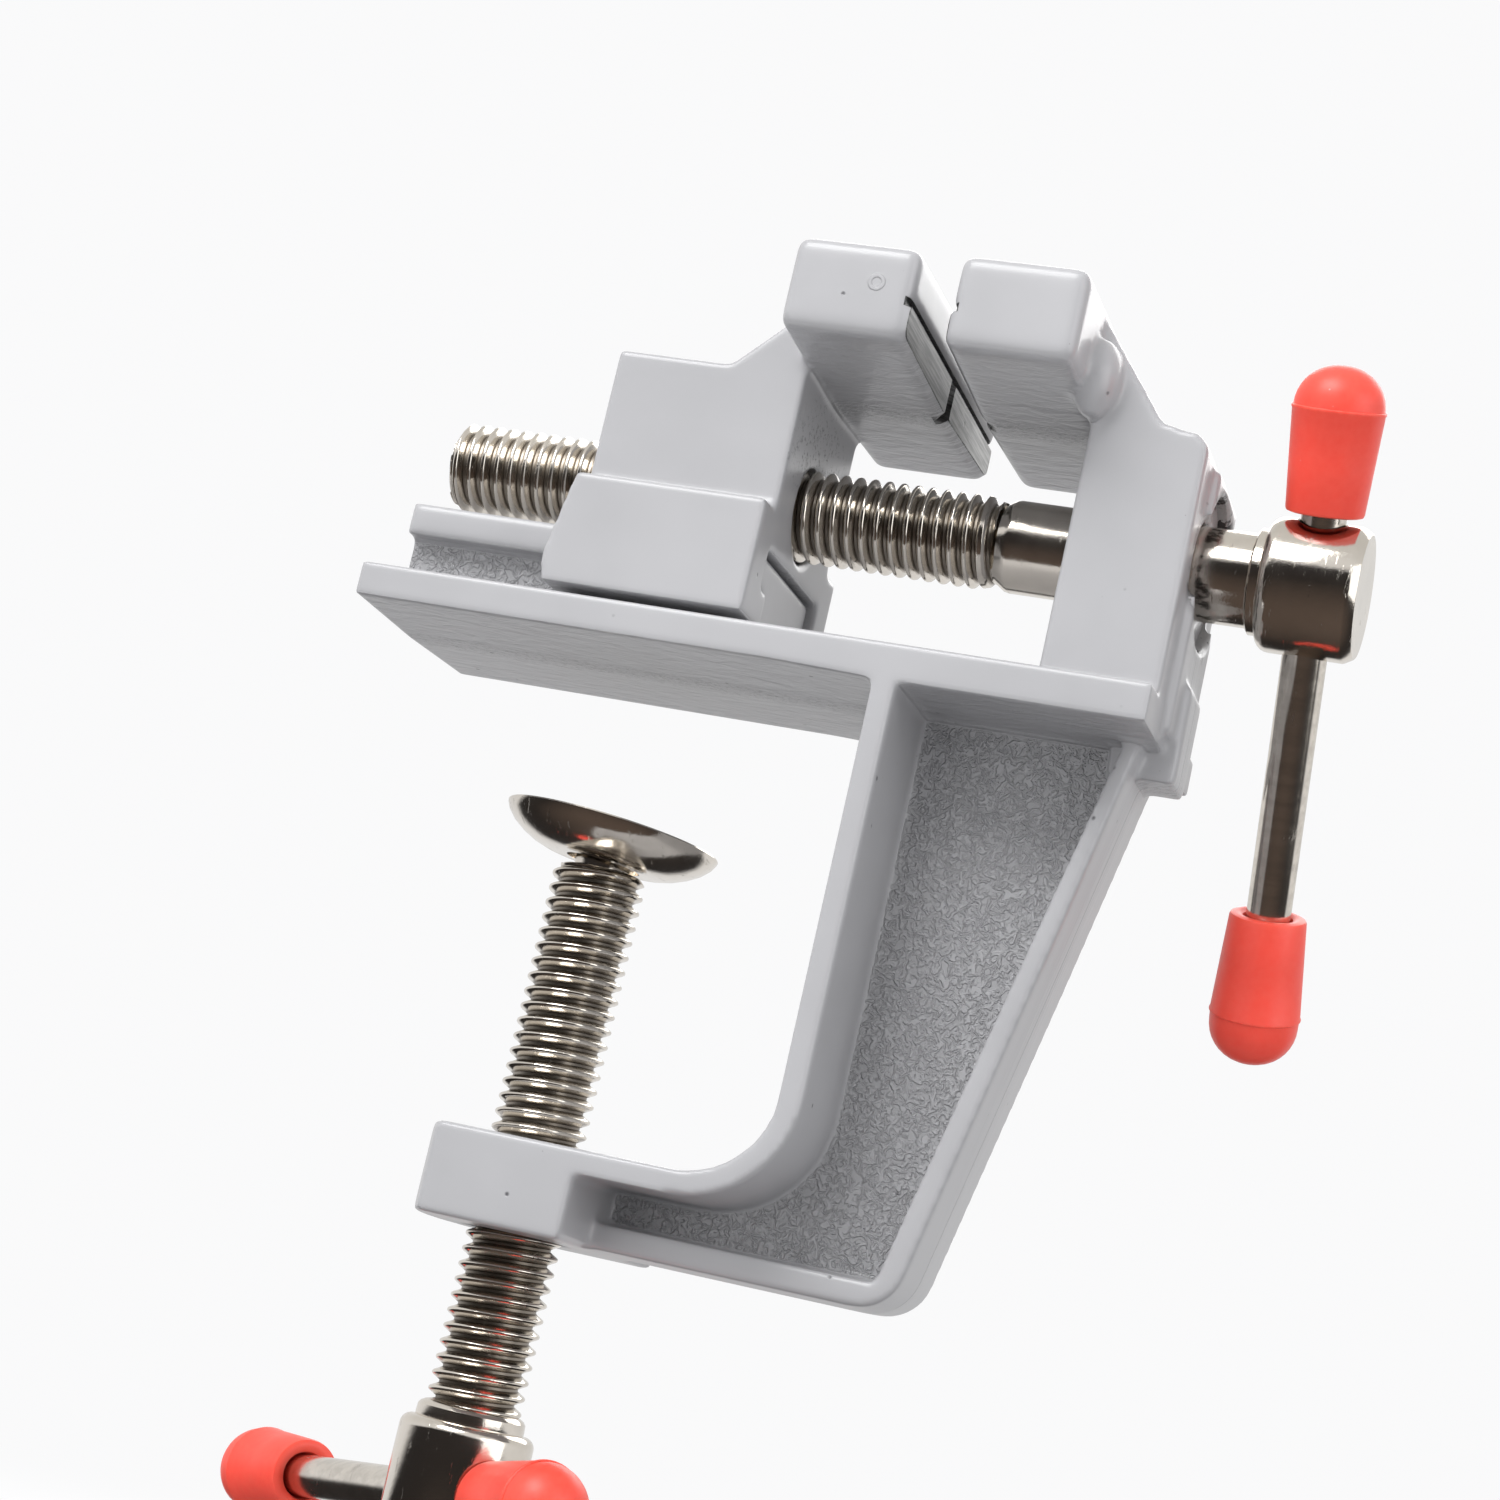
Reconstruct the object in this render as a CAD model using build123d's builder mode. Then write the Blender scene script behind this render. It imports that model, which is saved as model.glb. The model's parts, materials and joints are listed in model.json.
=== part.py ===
from build123d import *
from math import cos, radians, sin
import os

os.makedirs("parts", exist_ok=True)

# Small clamp-on table vise, 35 mm jaws. Millimetres, +Z up, +X towards the lead-screw handle,
# origin where the clamp-screw axis meets the face that rests on the table.

# Castings, both ways alike from the parting plane y = 0
overlap = 1.0                   # how far joined shapes run into each other
through = 40.0                  # length of a cut that goes right through
spine_draft = 2.0               # degrees
jaw_half_width = 17.5
jaw_bottom_z = 25.9             # at the ends of the block
jaw_top_z = 33.6
jaw_crease = 0.6                # how much lower the underside is at the parting line
jaw_root = 3.0                  # how far the upright or the body runs into its block
fixed_jaw_x = (23.5, 33.9)
moving_jaw_x = (9.93, 20.32)
cheek_half_width = 9.0          # upright, jaw body and gussets
jaw_edge_radius = 1.0
grip_groove_z = 29.5            # groove between the painted top strip and the machined face
grip_groove_height = 0.7
grip_groove_depth = 0.5
grip_vee_width = 2.0
grip_vee_depth = 0.8

bed_x = (-21.9, 44.1)
bed_half_width = 12.6
bed_thickness = 3.1

rail_x = (-21.0, 10.0)
rail_head_half_width = 7.7
rail_head_z = (7.2, 9.9)
rail_stem_half_width = 5.7

upright_x = (34.3, 44.0)
upright_top = ((33.4, 33.4), (40.0, 24.85), (43.07, 24.3), (44.0, 23.4))
rib_half_width = 5.5
rib_face_x = 44.8
rib_top_z = 22.5
nub_half_width = 3.0
nub_face_x = 45.5
nub_root_x = 40.0
nub_z = (-2.4, 5.6)
spotface_diameter = 12.5
spotface_x = 43.7
spotface_cut = 4.0

throat_x = (22.5, 24.45)        # the two sides of the inner flange
arm_top_z = -40.05
arm_bottom_z = -47.2
arm_flange_thickness = 1.95
throat_low_radius = 7.0
boss_x = (-3.8, 8.0)
boss_bulge_x = -7.0
arm_start_x = 1.0               # the arm's flanges and web start inside the boss
web_half_thickness = 1.5
spine_half_width = 5.5
spine_outer = ((43.1, 0.5), (39.2, -17.8), (33.7, -42.9), (32.75, -47.2))
spine_inner = ((41.4, 0.5), (31.8, -40.8), (30.9, -44.8))
spine_corner_radius = 4.0

# Moving jaw
body_x = (-5.8, 10.6)
body_z = (13.4, 25.1)
gusset = ((4.0, 25.1), (7.4, 28.4), (9.93, 31.0))
skirt_half_width = 12.0
skirt_bottom_z = 3.9
skirt_foot_x = -6.7
skirt_lean_x = -7.1
skirt_lean_z = 6.0
slide_gap = 0.3                 # between the T-slot and the rail

# Screws, M8 x 1.25
screw_radius = 3.95
screw_bore_radius = 4.02
lead_axis_z = 15.6
lead_start_x = -20.7
head_x = (48.9, 56.8)
head_radius = 5.45
head_ring_length = 0.8          # low collar between the shank and the head
head_ring_radius = 4.35
head_shoulder_radius = 1.0
head_bevel = (0.8, 0.4)         # along the axis, and off the radius
lead_groove_x = 40.0
lead_groove_half_width = 1.1
lead_groove_radius = 2.95
pin_radius = 1.0
pin_offset_y = 4.0
pin_z = (10.0, 24.2)

clamp_thread_z = (-61.4, -16.9)
clamp_collar_z = -62.4
clamp_collar_radius = 4.45
clamp_head_z = -73.6
clamp_hole_z = -68.2
neck_radius = 2.3
neck_top_z = -13.9
thread_chamfer = 0.7

# Tommy bars and their caps
bar_radius = 1.8
bar_hole_radius = 1.9
bar_ends = (-36.6, 16.0)        # along the bar, from the screw axis
cap_upper = (6.0, 17.8)         # open end and tip
cap_lower = (-26.6, -39.1)
cap_open_radius = 3.15
cap_lip_radius = 3.75
cap_lip_from_open = 8.4
cap_dome_height = 3.4
lead_bar_lean = 23.0            # degrees from vertical, top towards -Y
clamp_bar_turn = 41.7           # degrees from +X towards -Y
clamp_bar_rise = 5.0            # degrees, near end up; the cross hole is drilled out of square

# Swivel pad
pad_rim_radius = 9.05
pad_hub_radius = 4.3
pad_hub_hole_radius = 3.1
pad_rise = 2.9
pad_sheet = 1.0
pad_edge = (0.3, 0.5)           # slope of the rim's outer edge: off the radius, and in height
pad_rim_width = 0.9
pad_hub_step = 0.3
pad_under_z = -16.2
pad_tilt = 4.4                  # degrees, right side low
washer_radius = 4.0
washer_gap = 0.05
washer_z = (-14.65, -14.1)


def cast_outline(points, half_width):
    """Add a closed outline of the XZ plane, drawn out both ways from the parting plane."""
    with BuildSketch(Plane.XZ) as outline:
        with BuildLine():
            Polyline(*points, close=True)
        make_face()
    extrude(outline.sketch, amount=half_width, both=True)


def cast_box(x_span, half_width, z_span):
    """Add a rectangular block, symmetric about the parting plane."""
    x_low, x_high = x_span
    z_low, z_high = z_span
    cast_outline(((x_low, z_low), (x_high, z_low), (x_high, z_high), (x_low, z_high)), half_width)


def cast_jaw_block(x_span):
    """Add a jaw block, creased along its top and bottom where the mould parts, with rounded edges."""
    x_low, x_high = x_span
    with BuildSketch(Plane.YZ.offset(x_low)) as section:
        with BuildLine():
            Polyline(
                (-jaw_half_width, jaw_bottom_z),
                (0, jaw_bottom_z - jaw_crease),
                (jaw_half_width, jaw_bottom_z),
                (jaw_half_width, jaw_top_z),
                (0, jaw_top_z + jaw_crease / 2),
                (-jaw_half_width, jaw_top_z),
                close=True,
            )
        make_face()
    block = extrude(section.sketch, amount=x_high - x_low)
    fillet([edge for edge in block.edges() if abs(edge.center().Y) > jaw_edge_radius], jaw_edge_radius)


def cut_box(x_span, y_span, z_span):
    """Cut a rectangular pocket given by its spans."""
    centre = [(low + high) / 2 for low, high in (x_span, y_span, z_span)]
    size = [high - low for low, high in (x_span, y_span, z_span)]
    with Locations(tuple(centre)):
        Box(*size, mode=Mode.SUBTRACT)


def cut_bore(centre, direction, radius, length):
    """Cut a round hole of a given length, centred on a point."""
    with BuildSketch(Plane(origin=centre, z_dir=direction)) as bore:
        Circle(radius)
    extrude(bore.sketch, amount=length / 2, both=True, mode=Mode.SUBTRACT)


def cut_grip_face(face_x, outward):
    """Machine the gripping face flat, with its long groove and its upright V-groove."""
    inner_x = face_x - outward * grip_groove_depth
    cut_box(
        (min(face_x, inner_x), max(face_x, inner_x)),
        (-jaw_half_width, jaw_half_width),
        (grip_groove_z - grip_groove_height, grip_groove_z),
    )
    with BuildSketch(Plane.XY.offset(jaw_bottom_z - overlap)) as vee:
        with BuildLine():
            Polyline(
                (face_x + outward, grip_vee_width),
                (face_x, grip_vee_width / 2),
                (face_x - outward * grip_vee_depth, 0),
                (face_x, -grip_vee_width / 2),
                (face_x + outward, -grip_vee_width),
                close=True,
            )
        make_face()
    extrude(vee.sketch, amount=grip_groove_z - jaw_bottom_z + overlap, mode=Mode.SUBTRACT)


# ---- Frame casting: bed, T-rail, upright with the fixed jaw, C-shaped clamp ----
with BuildPart() as frame_casting:
    cast_jaw_block(fixed_jaw_x)
    inner_x, outer_x = upright_x
    cast_outline(
        (
            (inner_x, overlap),
            (inner_x, jaw_bottom_z),
            (inner_x - jaw_root, jaw_bottom_z + overlap),
            (inner_x - jaw_root, jaw_top_z - overlap),
            *upright_top,
            (outer_x, overlap),
        ),
        cheek_half_width,
    )
    # Bed plate
    cast_box(bed_x, bed_half_width, (0, bed_thickness))
    # T-rail
    cast_box(rail_x, rail_stem_half_width, (bed_thickness - overlap, rail_head_z[0] + overlap))
    cast_box(rail_x, rail_head_half_width, rail_head_z)
    # Outer rib and its nub
    cast_box((outer_x - overlap, rib_face_x), rib_half_width, (overlap, rib_top_z))
    cast_box((nub_root_x, nub_face_x), nub_half_width, nub_z)
    # Inner flange, turning into the top of the lower arm
    flange_inner_x, flange_outer_x = throat_x
    arm_flange_z = arm_top_z - arm_flange_thickness
    with BuildSketch(Plane.XZ) as flange:
        with BuildLine():
            bend_x = flange_inner_x - throat_low_radius
            bend_z = arm_top_z + throat_low_radius
            Line((flange_inner_x, overlap), (flange_inner_x, bend_z))
            CenterArc((bend_x, bend_z), throat_low_radius, 0, -90)
            Line((bend_x, arm_top_z), (arm_start_x, arm_top_z))
            Line((arm_start_x, arm_top_z), (arm_start_x, arm_flange_z))
            Line((arm_start_x, arm_flange_z), (bend_x, arm_flange_z))
            CenterArc((bend_x, bend_z), throat_low_radius + arm_flange_thickness, -90, 90)
            Line((flange_outer_x, bend_z), (flange_outer_x, overlap))
            Line((flange_outer_x, overlap), (flange_inner_x, overlap))
        make_face()
    extrude(amount=bed_half_width, both=True)
    # Web, which keeps inside the flange round its bend
    web_bend = (throat_low_radius + overlap) * cos(radians(45))
    cast_outline(
        (
            (flange_outer_x - overlap, overlap),
            (spine_outer[0][0] - overlap, overlap),
            (spine_outer[2][0] - overlap, spine_outer[2][1]),
            (spine_inner[2][0], arm_bottom_z + overlap),
            (arm_start_x, arm_bottom_z + overlap),
            (arm_start_x, arm_top_z - overlap),
            (bend_x, arm_top_z - overlap),
            (bend_x + web_bend, bend_z - web_bend),
            (flange_outer_x - overlap, bend_z),
        ),
        web_half_thickness,
    )
    # Spine: outer flange, round the corner and along the bottom of the arm
    with BuildSketch(Plane.XZ) as spine:
        with BuildLine():
            Polyline(
                *spine_outer,
                (arm_start_x, arm_bottom_z),
                (arm_start_x, spine_inner[2][1]),
                *reversed(spine_inner),
                close=True,
            )
        make_face()
        corner = spine.vertices().sort_by_distance(spine_outer[3])[0]
        fillet(corner, spine_corner_radius)
    extrude(amount=spine_half_width, both=True, taper=spine_draft)
    # Boss for the clamp screw
    with BuildSketch(Plane.XY.offset(arm_bottom_z)) as boss:
        with BuildLine():
            Line((boss_x[0], -bed_half_width), (boss_x[1], -bed_half_width))
            Line((boss_x[1], -bed_half_width), (boss_x[1], bed_half_width))
            Line((boss_x[1], bed_half_width), (boss_x[0], bed_half_width))
            ThreePointArc((boss_x[0], bed_half_width), (boss_bulge_x, 0), (boss_x[0], -bed_half_width))
        make_face()
    extrude(amount=arm_top_z - arm_bottom_z)
    # Machined features
    cut_grip_face(fixed_jaw_x[0], -1)
    spotface_centre = (spotface_x + spotface_cut / 2, 0, lead_axis_z)
    cut_bore(spotface_centre, (1, 0, 0), spotface_diameter / 2, spotface_cut)
    cut_bore((outer_x, 0, lead_axis_z), (1, 0, 0), screw_bore_radius, through)
    cut_bore((0, 0, arm_top_z), (0, 0, 1), screw_bore_radius, through)
    pin_centre = (lead_groove_x, pin_offset_y, (pin_z[0] + pin_z[1]) / 2)
    cut_bore(pin_centre, (0, 0, 1), pin_radius, pin_z[1] - pin_z[0])
frame_casting.part.label = "frame_casting"
export_step(frame_casting.part, "parts/frame_casting.step")

# ---- Moving jaw: block, body, skirt over the T-rail ----
with BuildPart() as moving_jaw:
    cast_jaw_block(moving_jaw_x)
    block_left_x = moving_jaw_x[0]
    body_left_x, body_right_x = body_x
    body_low_z, body_high_z = body_z
    cast_outline(
        (
            (body_left_x, body_low_z - overlap),
            (body_left_x, body_high_z),
            *gusset,
            (block_left_x + jaw_root, gusset[2][1]),
            (block_left_x + jaw_root, jaw_bottom_z + overlap),
            (body_right_x, jaw_bottom_z),
            (body_right_x, body_low_z - overlap),
        ),
        cheek_half_width,
    )
    cast_outline(
        (
            (skirt_foot_x, skirt_bottom_z),
            (skirt_lean_x, skirt_lean_z),
            (body_left_x, body_low_z),
            (body_right_x, body_low_z),
            (body_right_x, skirt_bottom_z),
        ),
        skirt_half_width,
    )
    # T-slot
    slot_x = (skirt_lean_x - overlap, body_right_x + overlap)
    head_reach = rail_head_half_width + slide_gap
    stem_reach = rail_stem_half_width + slide_gap
    cut_box(slot_x, (-head_reach, head_reach), (rail_head_z[0] - slide_gap, rail_head_z[1] + slide_gap))
    cut_box(slot_x, (-stem_reach, stem_reach), (skirt_bottom_z - overlap, rail_head_z[0]))
    # Machined features
    cut_grip_face(moving_jaw_x[1], 1)
    cut_bore(((body_left_x + body_right_x) / 2, 0, lead_axis_z), (1, 0, 0), screw_bore_radius, through)
moving_jaw.part.label = "moving_jaw"
export_step(moving_jaw.part, "parts/moving_jaw.step")

# ---- Lead screw: thread, shank with the retaining groove, head with its cross hole ----
head_low_x, head_high_x = head_x
lead_bar_direction = (0, -sin(radians(lead_bar_lean)), cos(radians(lead_bar_lean)))
lead_bar_centre = ((head_low_x + head_high_x) / 2, 0, lead_axis_z)
with BuildPart() as lead_screw:
    with BuildSketch(Plane.XZ) as lead_profile:
        with BuildLine():
            Polyline(
                (lead_start_x, lead_axis_z),
                (lead_start_x, lead_axis_z + screw_radius - thread_chamfer),
                (lead_start_x + thread_chamfer, lead_axis_z + screw_radius),
                (lead_groove_x - lead_groove_half_width, lead_axis_z + screw_radius),
                (lead_groove_x - lead_groove_half_width, lead_axis_z + lead_groove_radius),
                (lead_groove_x + lead_groove_half_width, lead_axis_z + lead_groove_radius),
                (lead_groove_x + lead_groove_half_width, lead_axis_z + screw_radius),
                (head_low_x - head_ring_length, lead_axis_z + screw_radius),
                (head_low_x - head_ring_length, lead_axis_z + head_ring_radius),
                (head_low_x, lead_axis_z + head_ring_radius),
                (head_low_x, lead_axis_z + head_radius),
                (head_high_x - head_bevel[0], lead_axis_z + head_radius),
                (head_high_x, lead_axis_z + head_radius - head_bevel[1]),
                (head_high_x, lead_axis_z),
                close=True,
            )
        make_face()
    revolve(axis=Axis((0, 0, lead_axis_z), (1, 0, 0)))
    circles = lead_screw.edges().filter_by(GeomType.CIRCLE)
    shoulder = circles.filter_by_position(Axis.X, head_low_x, head_low_x).sort_by(SortBy.RADIUS)[-1]
    fillet(shoulder, head_shoulder_radius)
    cut_bore(lead_bar_centre, lead_bar_direction, bar_hole_radius, 4 * head_radius)
lead_screw.part.label = "lead_screw"
export_step(lead_screw.part, "parts/lead_screw.step")

# ---- Retaining pin in the upright ----
with BuildPart() as lead_retaining_pin:
    with Locations(pin_centre):
        Cylinder(pin_radius, pin_z[1] - pin_z[0])
lead_retaining_pin.part.label = "lead_retaining_pin"
export_step(lead_retaining_pin.part, "parts/lead_retaining_pin.step")

# ---- Clamp screw ----
clamp_bar_direction = (
    cos(radians(clamp_bar_turn)) * cos(radians(clamp_bar_rise)),
    -sin(radians(clamp_bar_turn)) * cos(radians(clamp_bar_rise)),
    sin(radians(clamp_bar_rise)),
)
clamp_bar_centre = (0, 0, clamp_hole_z)
with BuildPart() as clamp_screw:
    with BuildSketch(Plane.XZ) as clamp_profile:
        with BuildLine():
            Polyline(
                (0, clamp_head_z),
                (head_radius - head_bevel[1], clamp_head_z),
                (head_radius, clamp_head_z + head_bevel[0]),
                (head_radius, clamp_collar_z - head_bevel[0]),
                (head_radius - head_bevel[0], clamp_collar_z),
                (clamp_collar_radius, clamp_collar_z),
                (clamp_collar_radius, clamp_thread_z[0]),
                (screw_radius, clamp_thread_z[0]),
                (screw_radius, clamp_thread_z[1] - thread_chamfer),
                (screw_radius - thread_chamfer, clamp_thread_z[1]),
                (neck_radius, clamp_thread_z[1]),
                (neck_radius, neck_top_z),
                (0, neck_top_z),
                close=True,
            )
        make_face()
    revolve(axis=Axis.Z)
    cut_bore(clamp_bar_centre, clamp_bar_direction, bar_hole_radius, 4 * head_radius)
clamp_screw.part.label = "clamp_screw"
export_step(clamp_screw.part, "parts/clamp_screw.step")


def bar_plane(centre, direction):
    """A plane holding the bar's long section: local x along the bar, local y across it."""
    sideways = Vector(*direction).cross(Vector(1, 1, 0))
    return Plane(origin=centre, x_dir=direction, z_dir=sideways)


def revolve_about_bar(points, centre, direction):
    """Turn a profile about the bar's axis; the points are (along the bar, radius)."""
    with BuildSketch(bar_plane(centre, direction)) as profile:
        with BuildLine():
            Polyline(*points, close=True)
        make_face()
    revolve(profile.sketch, axis=Axis(centre, direction))


def cap_profile(span):
    """Outline of a moulded cap: open rim, lip, dome, and the blind bore for the bar."""
    open_at, tip_at = span
    way = 1 if tip_at > open_at else -1
    dome_start = tip_at - way * cap_dome_height
    dome = [
        (dome_start + way * cap_dome_height * sin(radians(angle)), cap_lip_radius * cos(radians(angle)))
        for angle in (15, 30, 45, 60, 75)
    ]
    bore_end = bar_ends[1] if way > 0 else bar_ends[0]
    return (
        (open_at, bar_radius),
        (open_at, cap_open_radius),
        (open_at + way * cap_lip_from_open, cap_lip_radius),
        *dome,
        (tip_at, 0),
        (bore_end, 0),
        (bore_end, bar_radius),
    )


bar_profile = (
    (bar_ends[0], 0),
    (bar_ends[0], bar_radius),
    (bar_ends[1], bar_radius),
    (bar_ends[1], 0),
)

# ---- Tommy bars and caps ----
bar_pieces = (
    ("lead_tommy_bar", bar_profile, lead_bar_centre, lead_bar_direction),
    ("lead_bar_cap_upper", cap_profile(cap_upper), lead_bar_centre, lead_bar_direction),
    ("lead_bar_cap_lower", cap_profile(cap_lower), lead_bar_centre, lead_bar_direction),
    ("clamp_tommy_bar", bar_profile, clamp_bar_centre, clamp_bar_direction),
    ("clamp_bar_cap_right", cap_profile(cap_upper), clamp_bar_centre, clamp_bar_direction),
    ("clamp_bar_cap_left", cap_profile(cap_lower), clamp_bar_centre, clamp_bar_direction),
)
for piece_name, profile_points, centre, direction in bar_pieces:
    with BuildPart() as bar_piece:
        revolve_about_bar(profile_points, centre, direction)
    bar_piece.part.label = piece_name
    export_step(bar_piece.part, f"parts/{piece_name}.step")

# ---- Swivel pad: a pressed dish on the clamp screw's neck ----
pad_up = (sin(radians(pad_tilt)), 0, cos(radians(pad_tilt)))
pad_right = (cos(radians(pad_tilt)), 0, -sin(radians(pad_tilt)))
pad_centre = (0, 0, pad_under_z)
with BuildPart() as swivel_pad:
    with BuildSketch(Plane(origin=pad_centre, x_dir=pad_right, z_dir=(0, -1, 0))) as dish:
        with BuildLine():
            Polyline(
                (pad_hub_hole_radius, 0),
                (pad_hub_radius, 0),
                (pad_rim_radius - pad_edge[0], pad_rise - pad_edge[1]),
                (pad_rim_radius, pad_rise),
                (pad_rim_radius - pad_rim_width, pad_rise),
                (pad_hub_radius - pad_hub_step, pad_sheet),
                (pad_hub_hole_radius, pad_sheet),
                close=True,
            )
        make_face()
    revolve(axis=Axis(pad_centre, pad_up))
swivel_pad.part.label = "swivel_pad"
export_step(swivel_pad.part, "parts/swivel_pad.step")

# ---- Washer under the peened end of the neck ----
with BuildPart() as pad_washer:
    with BuildSketch(Plane.XY.offset(washer_z[0])):
        Circle(washer_radius)
        Circle(neck_radius + washer_gap, mode=Mode.SUBTRACT)
    extrude(amount=washer_z[1] - washer_z[0])
pad_washer.part.label = "pad_washer"
export_step(pad_washer.part, "parts/pad_washer.step")
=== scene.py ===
"""Small clamp-on table vise: enamelled castings, rolled-thread screws, tommy bars with vinyl caps."""

import json
import math

import bpy
from mathutils import Matrix, Vector


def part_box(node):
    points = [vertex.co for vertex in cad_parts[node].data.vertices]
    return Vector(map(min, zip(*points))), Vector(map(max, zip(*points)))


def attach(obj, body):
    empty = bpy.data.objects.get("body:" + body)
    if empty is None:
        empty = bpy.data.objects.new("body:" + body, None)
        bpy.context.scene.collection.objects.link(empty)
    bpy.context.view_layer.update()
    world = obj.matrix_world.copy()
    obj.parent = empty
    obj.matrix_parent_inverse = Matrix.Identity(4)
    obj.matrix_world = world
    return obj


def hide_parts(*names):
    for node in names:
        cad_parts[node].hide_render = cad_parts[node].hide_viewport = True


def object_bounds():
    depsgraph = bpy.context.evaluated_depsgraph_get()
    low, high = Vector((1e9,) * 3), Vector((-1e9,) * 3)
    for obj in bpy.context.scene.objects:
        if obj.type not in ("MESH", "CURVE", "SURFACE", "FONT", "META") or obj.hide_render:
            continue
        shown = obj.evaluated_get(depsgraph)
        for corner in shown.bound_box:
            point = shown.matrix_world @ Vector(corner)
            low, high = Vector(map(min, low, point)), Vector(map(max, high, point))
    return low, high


bl_info = {
    "name": "Clamp-on table vise",
    "version": (1, 0, 0),
    "blender": (4, 5, 0),
    "location": "View3D > Sidebar > Vise",
    "description": "Builds the visible pieces of a small clamp-on table vise round its packed frame",
    "category": "Object",
}

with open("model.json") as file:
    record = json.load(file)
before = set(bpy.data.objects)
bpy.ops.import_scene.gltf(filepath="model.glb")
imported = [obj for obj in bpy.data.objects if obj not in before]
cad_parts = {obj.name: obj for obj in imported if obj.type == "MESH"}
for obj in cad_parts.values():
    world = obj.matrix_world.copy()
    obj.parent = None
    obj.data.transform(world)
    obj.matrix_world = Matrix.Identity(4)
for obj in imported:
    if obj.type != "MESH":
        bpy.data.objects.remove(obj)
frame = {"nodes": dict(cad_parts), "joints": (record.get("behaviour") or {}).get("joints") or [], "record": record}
cad_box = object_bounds()

MM = 0.001
ROUND = 2 * math.pi


# ---------------------------------------------------------------- places read from the frame


def joint(name):
    """The frame's joint of that name."""
    return next(j for j in frame["joints"] if j["name"] == name)


def low(node):
    """Lowest corner of a CAD node's box."""
    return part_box(node)[0]


def high(node):
    """Highest corner of a CAD node's box."""
    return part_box(node)[1]


def middle(node):
    """Centre of a CAD node's box."""
    return (low(node) + high(node)) / 2


LEAD_AXIS = Vector((0, 0, joint("lead_spin")["pos_m"][2]))
LEAD_BAR_WAY = Vector(joint("lead_bar_slide")["axis"]).normalized()
LEAD_BAR_CENTRE = Vector((middle("lead_tommy_bar").x, 0, LEAD_AXIS.z))
CLAMP_BAR_WAY = Vector(joint("clamp_bar_slide")["axis"]).normalized()
CLAMP_BAR_MIDDLE = middle("clamp_tommy_bar")
CLAMP_BAR_CENTRE = CLAMP_BAR_MIDDLE - CLAMP_BAR_WAY * (CLAMP_BAR_MIDDLE.x / CLAMP_BAR_WAY.x)
JAW_MOUNT = next(m for m in frame["record"]["mounts"] if m["name"] == "fixed_jaw_face")
GRIP_FIXED_X = JAW_MOUNT["pos_m"][0]
GRIP_MOVING_X = high("moving_jaw").x


# ---------------------------------------------------------------- sizes that several pieces share


JAW_TOP = 33.6 * MM
GRIP_GROOVE_TOP = JAW_TOP - 4.1 * MM    # top of the long groove above the machined strip
GRIP_TOP = JAW_TOP - 4.8 * MM           # top of the machined strip
GRIP_FOOT = 24.6 * MM                   # bottom of the machined strip
GRIP_REACH = (24.5 * MM, 29.2 * MM)     # heights that are stood proud before they are machined
SCREW_BORE = 4.03 * MM
HEAD_RADIUS = 5.45 * MM
CROSS_HOLE = 2.0 * MM
CROSS_HOLE_LENGTH = 16 * MM
BAR_RADIUS = 1.8 * MM
LIP_FROM_OPEN = 8.4 * MM
DOUBLED = 0.5e-6


# ---------------------------------------------------------------- what a user would change


class ViseSizes(bpy.types.PropertyGroup):
    """Sizes of the details that the frame does not hold."""

    pitch: bpy.props.FloatProperty(
        name="Thread pitch", description="Advance of both screws in one turn",
        default=1.25 * MM, subtype="DISTANCE")
    crest: bpy.props.FloatProperty(
        name="Crest radius", description="Radius over the thread crests",
        default=3.88 * MM, subtype="DISTANCE")
    root: bpy.props.FloatProperty(
        name="Root radius", description="Radius at the thread roots",
        default=3.15 * MM, subtype="DISTANCE")
    lead_thread_end: bpy.props.FloatProperty(
        name="Lead thread end", description="Where the lead screw's thread runs out",
        default=27.2 * MM, subtype="DISTANCE")
    enamel_voxel: bpy.props.FloatProperty(
        name="Enamel voxel", description="Grain at which the castings are rounded over",
        default=0.3 * MM, subtype="DISTANCE")
    enamel_rounds: bpy.props.IntProperty(
        name="Enamel rounds", description="How often the castings' edges are eased", default=13)
    casting_keep: bpy.props.FloatProperty(
        name="Casting detail", description="Share of the casting's faces that is kept",
        default=0.5, subtype="FACTOR")
    bed_crease: bpy.props.FloatProperty(
        name="Bed crease", description="Rise of the bed's underside from the parting line to its edges",
        default=0.35 * MM, subtype="DISTANCE")


class ViseColours(bpy.types.PropertyGroup):
    """Colours of the finishes and of the stage."""

    enamel: bpy.props.FloatVectorProperty(
        name="Enamel", description="Grey enamel of the castings",
        default=(0.425, 0.425, 0.438), size=3, subtype="COLOR")
    nickel: bpy.props.FloatVectorProperty(
        name="Nickel", description="Plating of the screws and the pad",
        default=(0.72, 0.67, 0.60), size=3, subtype="COLOR")
    vinyl: bpy.props.FloatVectorProperty(
        name="Vinyl", description="Dipped end caps",
        default=(0.95, 0.048, 0.030), size=3, subtype="COLOR")
    floor: bpy.props.FloatVectorProperty(
        name="Floor", description="Studio floor",
        default=(0.93, 0.93, 0.93), size=3, subtype="COLOR")


def sizes():
    """The detail sizes held by the scene."""
    return bpy.context.scene.vise_sizes


def colours():
    """The colours held by the scene."""
    return bpy.context.scene.vise_colours


# ---------------------------------------------------------------- modelling helpers


def deselect_all():
    """Leave nothing selected, with the CAD nodes as they are."""
    if bpy.context.object and bpy.context.object.mode != "OBJECT":
        bpy.ops.object.mode_set(mode="OBJECT")
    bpy.ops.object.select_all(action="DESELECT")


def take(piece):
    """Make a piece the only selected and the active object."""
    deselect_all()
    piece.select_set(True)
    bpy.context.view_layer.objects.active = piece


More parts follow.
